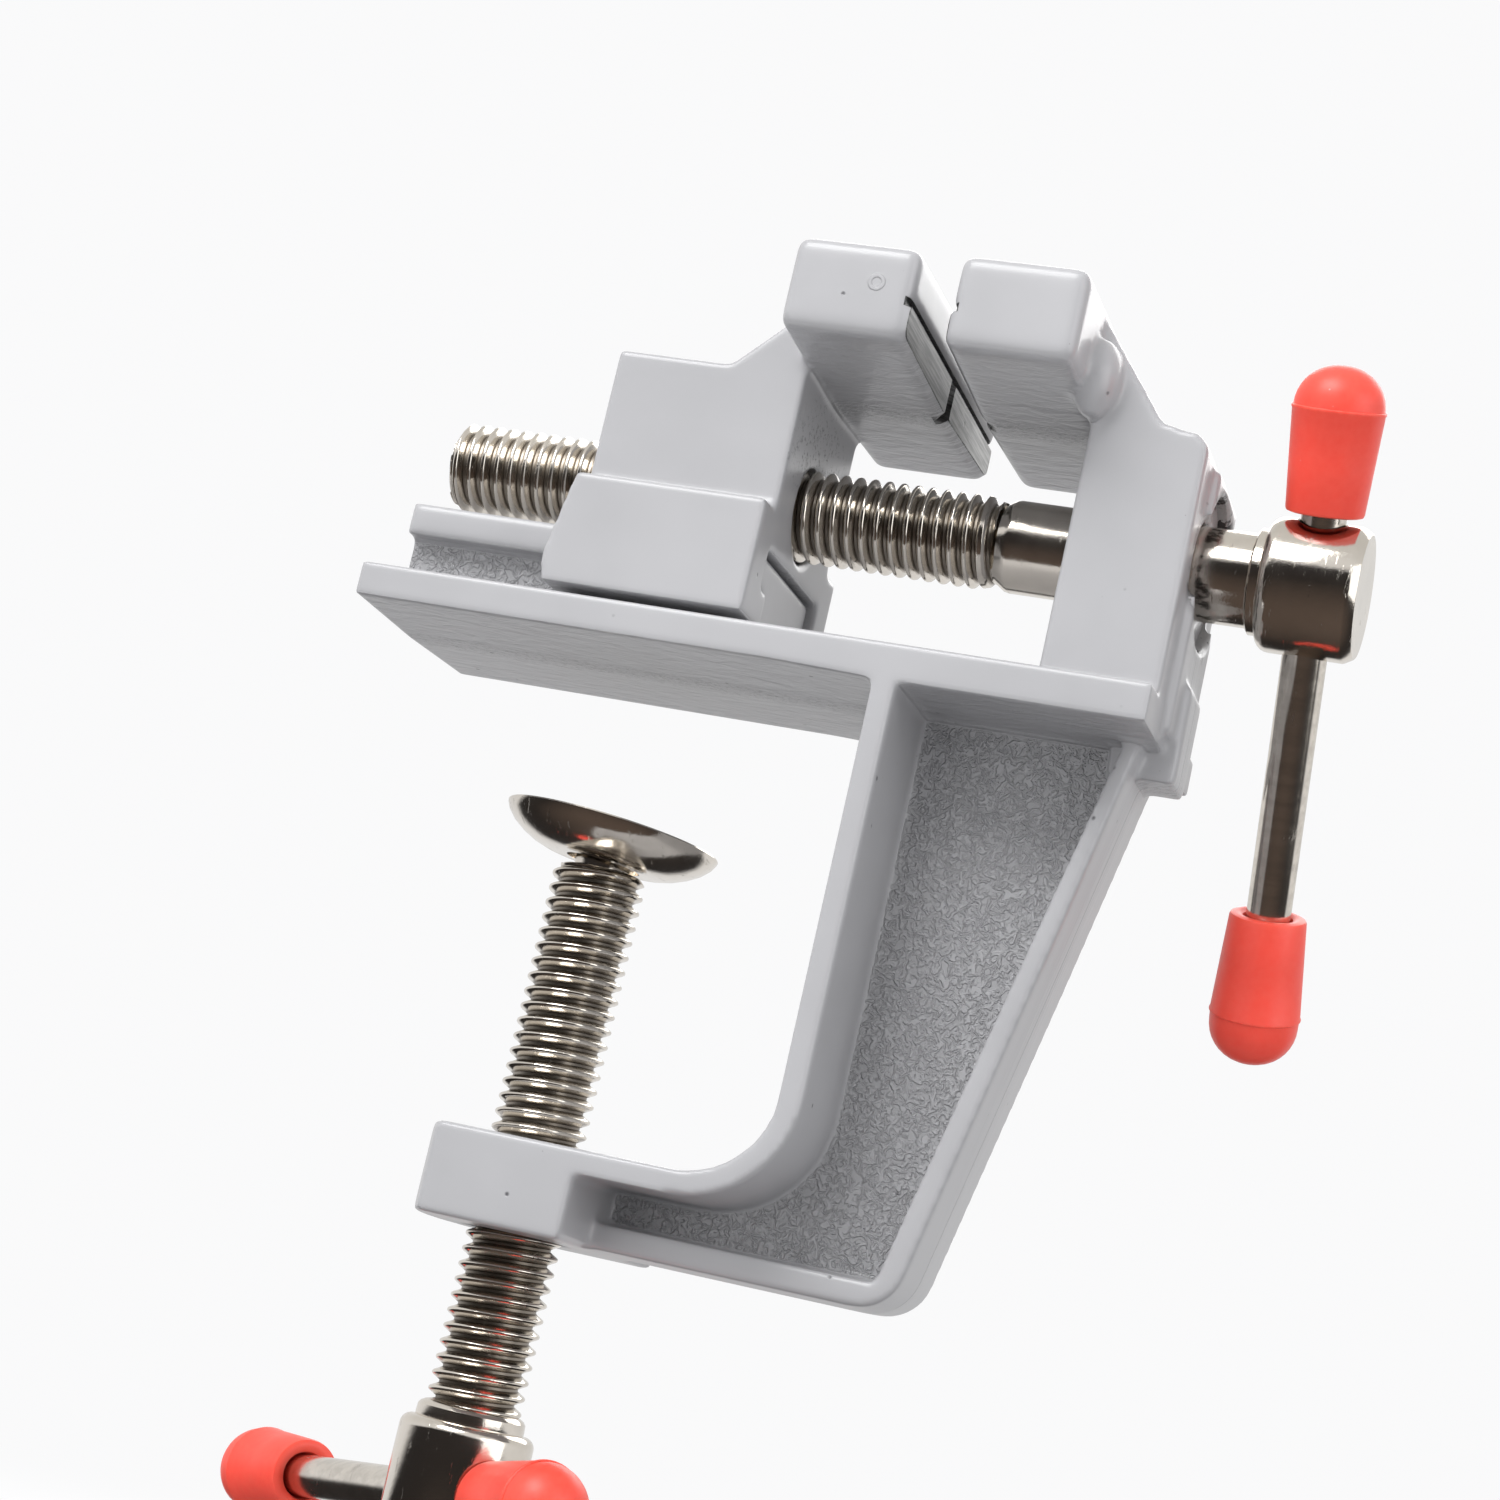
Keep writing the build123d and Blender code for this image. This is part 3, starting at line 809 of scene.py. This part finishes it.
class VISE_OT_frame_casting(bpy.types.Operator):
    """Bed, T-rail, upright and C-frame in one enamelled casting"""

    bl_idname = "vise.frame_casting"
    bl_label = "Frame casting"

    def crease_bed(self, piece, half):
        """Raise the bed's underside towards its edges, less and less as it nears the throat."""
        throat = 22.5 * MM
        fade_length = 9 * MM
        for vertex in piece.data.vertices:
            if abs(vertex.co.z) < 0.6 * MM and vertex.co.x < throat:
                fade = min(1.0, (throat - vertex.co.x) / fade_length)
                vertex.co.z += sizes().bed_crease * fade * abs(vertex.co.y) / half

    def execute(self, context):
        s = sizes()
        piece = merged_copy("frame_casting", "frame_casting_enamel")
        push_grip_face(piece, GRIP_FIXED_X, -1, 0.2 * MM)
        corner = high("moving_jaw").z
        for side in (-1, 1):
            place = (34.4 * MM, side * 9.9 * MM, corner - 6.6 * MM)
            ear = blob("ear", place, (1.9 * MM, 2.5 * MM, 3.3 * MM))
            piece = join([piece, ear], "frame_casting_enamel")
        ease(piece, s.casting_keep)
        half = high("frame_casting").y + MM
        self.crease_bed(piece, half)
        cutters = [
            rod("bore", (40 * MM, 0, LEAD_AXIS.z), (1, 0, 0), SCREW_BORE, 24 * MM),
            rod("boss_bore", (0, 0, -43.6 * MM), (0, 0, 1), SCREW_BORE, 20 * MM),
            rod("spotface", (45.7 * MM, 0, LEAD_AXIS.z), (1, 0, 0), 6.25 * MM, 4 * MM),
        ]
        cutters += grip_cutters(GRIP_FIXED_X, -1, half)
        for cutter in cutters:
            cut(piece, cutter)
        smooth(piece, 40)
        dress(piece, enamel_material("grey_enamel_frame", GRIP_FIXED_X, -1))
        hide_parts("frame_casting")
        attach(piece, "frame")
        pin = frame["nodes"]["lead_retaining_pin"]
        dress_kept(pin, steel_material("ground_steel"))
        return {"FINISHED"}


class VISE_OT_moving_jaw(bpy.types.Operator):
    """Moving jaw: block, body and the skirt that rides the T-rail"""

    bl_idname = "vise.moving_jaw"
    bl_label = "Moving jaw"

    def execute(self, context):
        piece = merged_copy("moving_jaw", "moving_jaw_enamel")
        push_grip_face(piece, GRIP_MOVING_X, 1, 0.7 * MM)
        ease(piece, 1.0)
        half = high("moving_jaw").y + MM
        cutters = [rod("bore", (2 * MM, 0, LEAD_AXIS.z), (1, 0, 0), SCREW_BORE, 36 * MM)]
        cutters += grip_cutters(GRIP_MOVING_X, 1, half)
        for cutter in cutters:
            cut(piece, cutter)
        smooth(piece, 40)
        dress(piece, enamel_material("grey_enamel_jaw", GRIP_MOVING_X, 1))
        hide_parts("moving_jaw")
        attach(piece, "jaw")
        return {"FINISHED"}


def head_outline(start, shoulder, end, collar_radius, round_radius):
    """Points of a screw head: low collar, rounded shoulder, straight side and bevelled end."""
    corner = arc(shoulder + round_radius, HEAD_RADIUS - round_radius, round_radius, 180, 90, 7)
    return [
        (start, collar_radius - 0.2 * MM),
        (start + 0.15 * MM, collar_radius),
        (shoulder, collar_radius),
        *corner,
        (end - 0.85 * MM, HEAD_RADIUS),
        (end - 0.70 * MM, HEAD_RADIUS - 0.04 * MM),
        (end - 0.08 * MM, HEAD_RADIUS - 0.40 * MM),
        (end, HEAD_RADIUS - 0.50 * MM),
        (end, 0.0),
    ]


class VISE_OT_lead_screw(bpy.types.Operator):
    """Lead screw: rolled thread, plain shank with its retaining groove, cross-drilled head"""

    bl_idname = "vise.lead_screw"
    bl_label = "Lead screw"

    def execute(self, context):
        s = sizes()
        start = low("lead_screw").x
        end = high("lead_screw").x
        run_end = s.lead_thread_end
        material = nickel_material(
            "nickel_lead_screw", "X", LEAD_AXIS, (start + 0.2 * MM, run_end))
        spiral = thread("lead_thread", start, run_end, LEAD_AXIS, (1, 0, 0), 0.55 * MM, 1.4 * MM)
        shank = 3.82 * MM
        groove_start = 38.9 * MM
        groove_end = 41.1 * MM
        groove_radius = 2.95 * MM
        shank_end = 48.0 * MM
        points = [
            (run_end - 0.3 * MM, 0.0),
            (run_end - 0.3 * MM, s.root),
            (run_end + 0.25 * MM, s.root + 0.15 * MM),
            (run_end + 0.9 * MM, shank - 0.08 * MM),
            (run_end + 1.3 * MM, shank),
            (groove_start, shank),
            (groove_start, groove_radius),
            (groove_end, groove_radius),
            (groove_end, shank),
            (shank_end, shank),
        ]
        points += head_outline(48.1 * MM, 48.9 * MM, end, 4.3 * MM, 1.1 * MM)
        head = turned("lead_head", points, LEAD_AXIS, (1, 0, 0))
        cut(head, rod("cross_hole", LEAD_BAR_CENTRE, LEAD_BAR_WAY, CROSS_HOLE, CROSS_HOLE_LENGTH))
        smooth(head, 30)
        for piece in (spiral, head):
            dress(piece, material)
            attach(piece, "lead_screw_body")
        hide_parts("lead_screw")
        return {"FINISHED"}


class VISE_OT_clamp_screw(bpy.types.Operator):
    """Clamp screw: rolled thread, peened neck, collar and cross-drilled head"""

    bl_idname = "vise.clamp_screw"
    bl_label = "Clamp screw"

    def execute(self, context):
        s = sizes()
        bottom = low("clamp_screw").z
        top = high("clamp_screw").z
        thread_top = -16.9 * MM
        thread_low = -61.6 * MM
        down = (0, 0, -1)
        origin = Vector((0, 0, 0))
        material = nickel_material(
            "nickel_clamp_screw", "Z", origin, (thread_low, thread_top - 0.2 * MM))
        spiral = thread("clamp_thread", -thread_top, -thread_low, origin, down, 0.5 * MM, 0.0)
        neck_radius = 2.3 * MM
        neck = [
            (-top, 0.0),
            (-top, 1.5 * MM),
            (-top + 0.25 * MM, 2.1 * MM),
            (-top + 0.55 * MM, neck_radius),
            (-thread_top + 0.2 * MM, neck_radius),
            (-thread_top + 0.2 * MM, 0.0),
        ]
        neck = turned("clamp_neck", neck, origin, down, 64)
        smooth(neck, 30)
        points = [
            (61.0 * MM, 0.0),
            (61.0 * MM, 3.3 * MM),
            (61.15 * MM, 3.85 * MM),
            (61.35 * MM, 4.2 * MM),
            (61.6 * MM, 4.38 * MM),
            (62.2 * MM, 4.42 * MM),
        ]
        points += head_outline(62.25 * MM, 62.45 * MM, -bottom, 4.4 * MM, 0.9 * MM)[2:]
        head = turned("clamp_head", points, origin, down)
        cut(head, rod("cross_hole", CLAMP_BAR_CENTRE, CLAMP_BAR_WAY, CROSS_HOLE, CROSS_HOLE_LENGTH))
        smooth(head, 30)
        for piece in (spiral, neck, head):
            dress(piece, material)
            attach(piece, "clamp_screw_body")
        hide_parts("clamp_screw")
        return {"FINISHED"}


BARS = (
    ("lead", LEAD_BAR_CENTRE, LEAD_BAR_WAY, "lead_bar_cap_upper", "lead_bar_cap_lower"),
    ("clamp", CLAMP_BAR_CENTRE, CLAMP_BAR_WAY, "clamp_bar_cap_right", "clamp_bar_cap_left"),
)
BAR_ENDS = (-36.6 * MM, 16.0 * MM)
CAP_ENDS = ((6.0 * MM, 17.8 * MM), (-26.6 * MM, -39.1 * MM))


class VISE_OT_tommy_bars(bpy.types.Operator):
    """Two plated tommy bars, free to slide in their heads"""

    bl_idname = "vise.tommy_bars"
    bl_label = "Tommy bars"

    def execute(self, context):
        edge = 0.3 * MM
        start, end = BAR_ENDS
        points = [
            (start, 0),
            (start, BAR_RADIUS - edge),
            (start + edge, BAR_RADIUS),
            (end - edge, BAR_RADIUS),
            (end, BAR_RADIUS - edge),
            (end, 0),
        ]
        for screw, centre, way, _, _ in BARS:
            piece = turned(screw + "_bar_rod", points, centre, way, 64)
            smooth(piece, 30)
            dress(piece, bar_material(f"drawn_nickel_{screw}", way))
            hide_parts(screw + "_tommy_bar")
            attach(piece, screw + "_bar")
        return {"FINISHED"}


def cap_outline(open_at, tip_at):
    """Points of a dipped cap: bore, open rim, flaring side, lip and dome."""
    way = 1 if tip_at > open_at else -1
    bore_end = open_at + way * 9.9 * MM
    lip_at = open_at + way * LIP_FROM_OPEN
    dome_length = 3.35 * MM
    dome_at = tip_at - way * dome_length
    side = [
        (open_at + way * 0.9 * MM, 1.86 * MM),
        (open_at + way * 0.25 * MM, 2.05 * MM),
        (open_at + way * 0.06 * MM, 2.35 * MM),
        (open_at + way * 0.04 * MM, 2.75 * MM),
        (open_at + way * 0.14 * MM, 3.04 * MM),
        (open_at + way * 0.35 * MM, 3.13 * MM),
        (open_at + way * 4.0 * MM, 3.38 * MM),
        (lip_at - way * 0.25 * MM, 3.66 * MM),
        (lip_at - way * 0.10 * MM, 3.74 * MM),
        (lip_at + way * 0.02 * MM, 3.72 * MM),
        (lip_at + way * 0.10 * MM, 3.62 * MM),
    ]
    dome = []
    for angle in range(0, 90, 9):
        reach = math.radians(angle)
        dome.append((
            dome_at + way * dome_length * math.sin(reach),
            3.60 * MM * math.cos(reach) ** 0.92,
        ))
    return [(bore_end, 0.0), (bore_end, 1.82 * MM), *side, *dome, (tip_at, 0.0)]


class VISE_OT_bar_caps(bpy.types.Operator):
    """Four dipped vinyl caps, flaring from the open rim to a lip and a dome"""

    bl_idname = "vise.bar_caps"
    bl_label = "Bar caps"

    def execute(self, context):
        rims = [(CAP_ENDS[0][0], 1), (CAP_ENDS[1][0], -1)]
        for screw, centre, way, upper, lower in BARS:
            material = vinyl_material(f"red_vinyl_{screw}", centre, way, rims)
            for node, (open_at, tip_at) in zip((upper, lower), CAP_ENDS):
                piece = turned(node + "_vinyl", cap_outline(open_at, tip_at), centre, way, 72)
                smooth(piece, 40)
                dress(piece, material)
                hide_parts(node)
                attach(piece, screw + "_bar")
        return {"FINISHED"}


class VISE_OT_swivel_pad(bpy.types.Operator):
    """Pressed swivel pad: a shallow bowl with a flat hub and a rounded rim"""

    bl_idname = "vise.swivel_pad"
    bl_label = "Swivel pad"

    def execute(self, context):
        tilt = math.radians(4.4)
        way = Vector((math.sin(tilt), 0, math.cos(tilt)))
        under = Vector((0, 0, -16.2 * MM))
        bowl = (
            (0.0, 3.1), (0.0, 4.4), (0.12, 5.2), (0.42, 6.2), (0.90, 7.2), (1.50, 8.1), (2.15, 8.72),
            (2.65, 8.98), (2.84, 9.03), (2.95, 8.96), (2.93, 8.76), (2.45, 8.30), (1.85, 7.50),
            (1.28, 6.50), (0.90, 5.50), (0.80, 4.40), (0.80, 3.1), (0.0, 3.1),
        )
        points = [(height * MM, radius * MM) for height, radius in bowl]
        piece = turned("swivel_pad_plated", points, under, way, 96)
        smooth(piece, 40)
        dress(piece, nickel_material("nickel_pad", "Z", Vector((0, 0, 0)), NO_THREAD))
        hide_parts("swivel_pad")
        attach(piece, "pad")
        dress_kept(frame["nodes"]["pad_washer"], steel_material("washer_steel"))
        return {"FINISHED"}


# ---------------------------------------------------------------- stage


VIEW_AZIMUTH = math.radians(17.674)
VIEW_ELEVATION = math.radians(-10.909)
VIEW_ROLL = math.radians(13.002)
VIEW_PLACE = Vector((87.33, -242.18, -53.69)) * MM
LENS = 75.74
BACKDROP = (0.955, 0.955, 0.96, 1)
CLAMP_DROP = -joint("clamp_travel")["range_m"][0]
MIRRORED_STOPS = (
    (0.0, (0.12, 0.09, 0.075, 1)),
    (0.28, (0.035, 0.030, 0.028, 1)),
    (0.47, (0.03, 0.028, 0.028, 1)),
    (0.53, (0.90, 0.90, 0.91, 1)),
    (1.0, (0.74, 0.73, 0.71, 1)),
)
AMBIENT_STOPS = (
    (0.0, (0.66, 0.66, 0.67, 1)),
    (0.5, (0.52, 0.52, 0.53, 1)),
    (1.0, (0.60, 0.60, 0.61, 1)),
)


class VISE_OT_stage(bpy.types.Operator):
    """Pale floor, soft studio light and the camera"""

    bl_idname = "vise.stage"
    bl_label = "Studio stage"

    def execute(self, context):
        self.add_floor()
        self.add_lights()
        self.add_surroundings()
        self.add_camera()
        return {"FINISHED"}

    def add_floor(self):
        """A wide pale floor, clear of the clamp screw when it is wound right down."""
        ground = cad_box[0].z - CLAMP_DROP - 1.0 * MM
        deselect_all()
        bpy.ops.mesh.primitive_plane_add(size=6, location=(0, 0, ground))
        floor = settle(named("studio_floor"))
        dress(floor, floor_material("studio_floor"))
        floor.visible_glossy = False
        floor.visible_diffuse = False

    def add_light(self, name, place, aim, size, power):
        """A rectangular soft light aimed at a point."""
        deselect_all()
        bpy.ops.object.light_add(type="AREA", location=place)
        light = bpy.context.object
        light.name = name
        light.data.name = name
        light.data.shape = "RECTANGLE"
        light.data.size = size[0]
        light.data.size_y = size[1]
        light.data.energy = power
        towards = Vector(aim) - Vector(place)
        light.rotation_euler = towards.to_track_quat("-Z", "Y").to_euler()
        return light

    def add_lights(self):
        """Key from above on the left, fill from the right, a soft front light and one behind."""
        aim = (0.01, 0, -0.02)
        self.add_light("key_light", (-0.14, -0.36, 0.40), aim, (0.34, 0.26), 2.5)
        self.add_light("fill_light", (0.50, -0.20, 0.10), aim, (0.4, 0.4), 0.9)
        front = self.add_light("front_light", (-0.30, -0.48, 0.0), aim, (0.5, 0.5), 1.2)
        front.visible_glossy = False
        self.add_light("back_light", (0.05, 0.55, 0.40), aim, (0.6, 0.4), 2.0)

    def gradient(self, tree, stops, way):
        """A background whose colour goes from 0 against a direction to 1 along it."""
        place = tree.nodes.new("ShaderNodeTexCoord")
        lean = tree.nodes.new("ShaderNodeVectorMath")
        lean.operation = "DOT_PRODUCT"
        lean.inputs[1].default_value = way
        height = tree.nodes.new("ShaderNodeMath")
        height.operation = "MULTIPLY_ADD"
        height.inputs[1].default_value = 0.5
        height.inputs[2].default_value = 0.5
        ramp = tree.nodes.new("ShaderNodeValToRGB")
        while len(ramp.color_ramp.elements) < len(stops):
            ramp.color_ramp.elements.new(0.5)
        for element, (position, colour) in zip(ramp.color_ramp.elements, stops):
            element.position = position
            element.color = colour
        background = tree.nodes.new("ShaderNodeBackground")
        tree.links.new(place.outputs["Generated"], lean.inputs[0])
        tree.links.new(lean.outputs["Value"], height.inputs[0])
        tree.links.new(height.outputs[0], ramp.inputs[0])
        tree.links.new(ramp.outputs[0], background.inputs[0])
        return background

    def add_surroundings(self):
        """White backdrop; reflections see a bright upper half and a dark lower half."""
        world = bpy.data.worlds.new("studio_world")
        bpy.context.scene.world = world
        world.use_nodes = True
        tree = world.node_tree
        tree.nodes.clear()
        out = tree.nodes.new("ShaderNodeOutputWorld")
        seen = tree.nodes.new("ShaderNodeBackground")
        seen.inputs[0].default_value = BACKDROP
        mirrored = self.gradient(tree, MIRRORED_STOPS, (0, 0.42, 0.9075))
        ambient = self.gradient(tree, AMBIENT_STOPS, (0, 0, 1))
        path = tree.nodes.new("ShaderNodeLightPath")
        first = tree.nodes.new("ShaderNodeMixShader")
        tree.links.new(path.outputs["Is Glossy Ray"], first.inputs[0])
        tree.links.new(ambient.outputs[0], first.inputs[1])
        tree.links.new(mirrored.outputs[0], first.inputs[2])
        second = tree.nodes.new("ShaderNodeMixShader")
        tree.links.new(path.outputs["Is Camera Ray"], second.inputs[0])
        tree.links.new(first.outputs[0], second.inputs[1])
        tree.links.new(seen.outputs[0], second.inputs[2])
        tree.links.new(second.outputs[0], out.inputs[0])
        bpy.context.scene.view_settings.view_transform = "Standard"

    def add_camera(self):
        """The camera, low in front of the vise, looking up at it and rolled."""
        towards = Vector((
            -math.sin(VIEW_AZIMUTH) * math.cos(VIEW_ELEVATION),
            math.cos(VIEW_AZIMUTH) * math.cos(VIEW_ELEVATION),
            -math.sin(VIEW_ELEVATION),
        ))
        right = towards.cross(Vector((0, 0, 1))).normalized()
        up = right.cross(towards)
        rolled_right = math.cos(VIEW_ROLL) * right + math.sin(VIEW_ROLL) * up
        rolled_up = -math.sin(VIEW_ROLL) * right + math.cos(VIEW_ROLL) * up
        deselect_all()
        bpy.ops.object.camera_add(location=VIEW_PLACE)
        camera = bpy.context.object
        camera.name = "studio_camera"
        axes = Matrix((rolled_right, rolled_up, -towards)).transposed()
        camera.matrix_world = Matrix.Translation(VIEW_PLACE) @ axes.to_4x4()
        camera.data.sensor_width = 36
        camera.data.lens = LENS
        camera.data.clip_start = 0.01
        bpy.context.scene.camera = camera


# ---------------------------------------------------------------- add-on


class VISE_PT_panel(bpy.types.Panel):
    """The vise's pieces in the sidebar"""

    bl_idname = "VISE_PT_panel"
    bl_label = "Table vise"
    bl_space_type = "VIEW_3D"
    bl_region_type = "UI"
    bl_category = "Vise"

    def draw(self, context):
        column = self.layout.column()
        for piece in PIECES:
            column.operator(piece.bl_idname)
        for group in (context.scene.vise_sizes, context.scene.vise_colours):
            for key in group.__annotations__:
                column.prop(group, key)


PIECES = (
    VISE_OT_frame_casting,
    VISE_OT_moving_jaw,
    VISE_OT_lead_screw,
    VISE_OT_clamp_screw,
    VISE_OT_tommy_bars,
    VISE_OT_bar_caps,
    VISE_OT_swivel_pad,
    VISE_OT_stage,
)
CLASSES = (ViseSizes, ViseColours, *PIECES, VISE_PT_panel)


def register():
    """Register the classes and the scene's settings."""
    for item in CLASSES:
        bpy.utils.register_class(item)
    bpy.types.Scene.vise_sizes = bpy.props.PointerProperty(type=ViseSizes)
    bpy.types.Scene.vise_colours = bpy.props.PointerProperty(type=ViseColours)


def unregister():
    """Take the classes and the settings away again."""
    del bpy.types.Scene.vise_colours
    del bpy.types.Scene.vise_sizes
    for item in reversed(CLASSES):
        bpy.utils.unregister_class(item)


def main():
    register()
    bpy.ops.vise.frame_casting()
    bpy.ops.vise.moving_jaw()
    bpy.ops.vise.lead_screw()
    bpy.ops.vise.clamp_screw()
    bpy.ops.vise.tommy_bars()
    bpy.ops.vise.bar_caps()
    bpy.ops.vise.swivel_pad()
    bpy.ops.vise.stage()


if __name__ == "__main__":
    main()
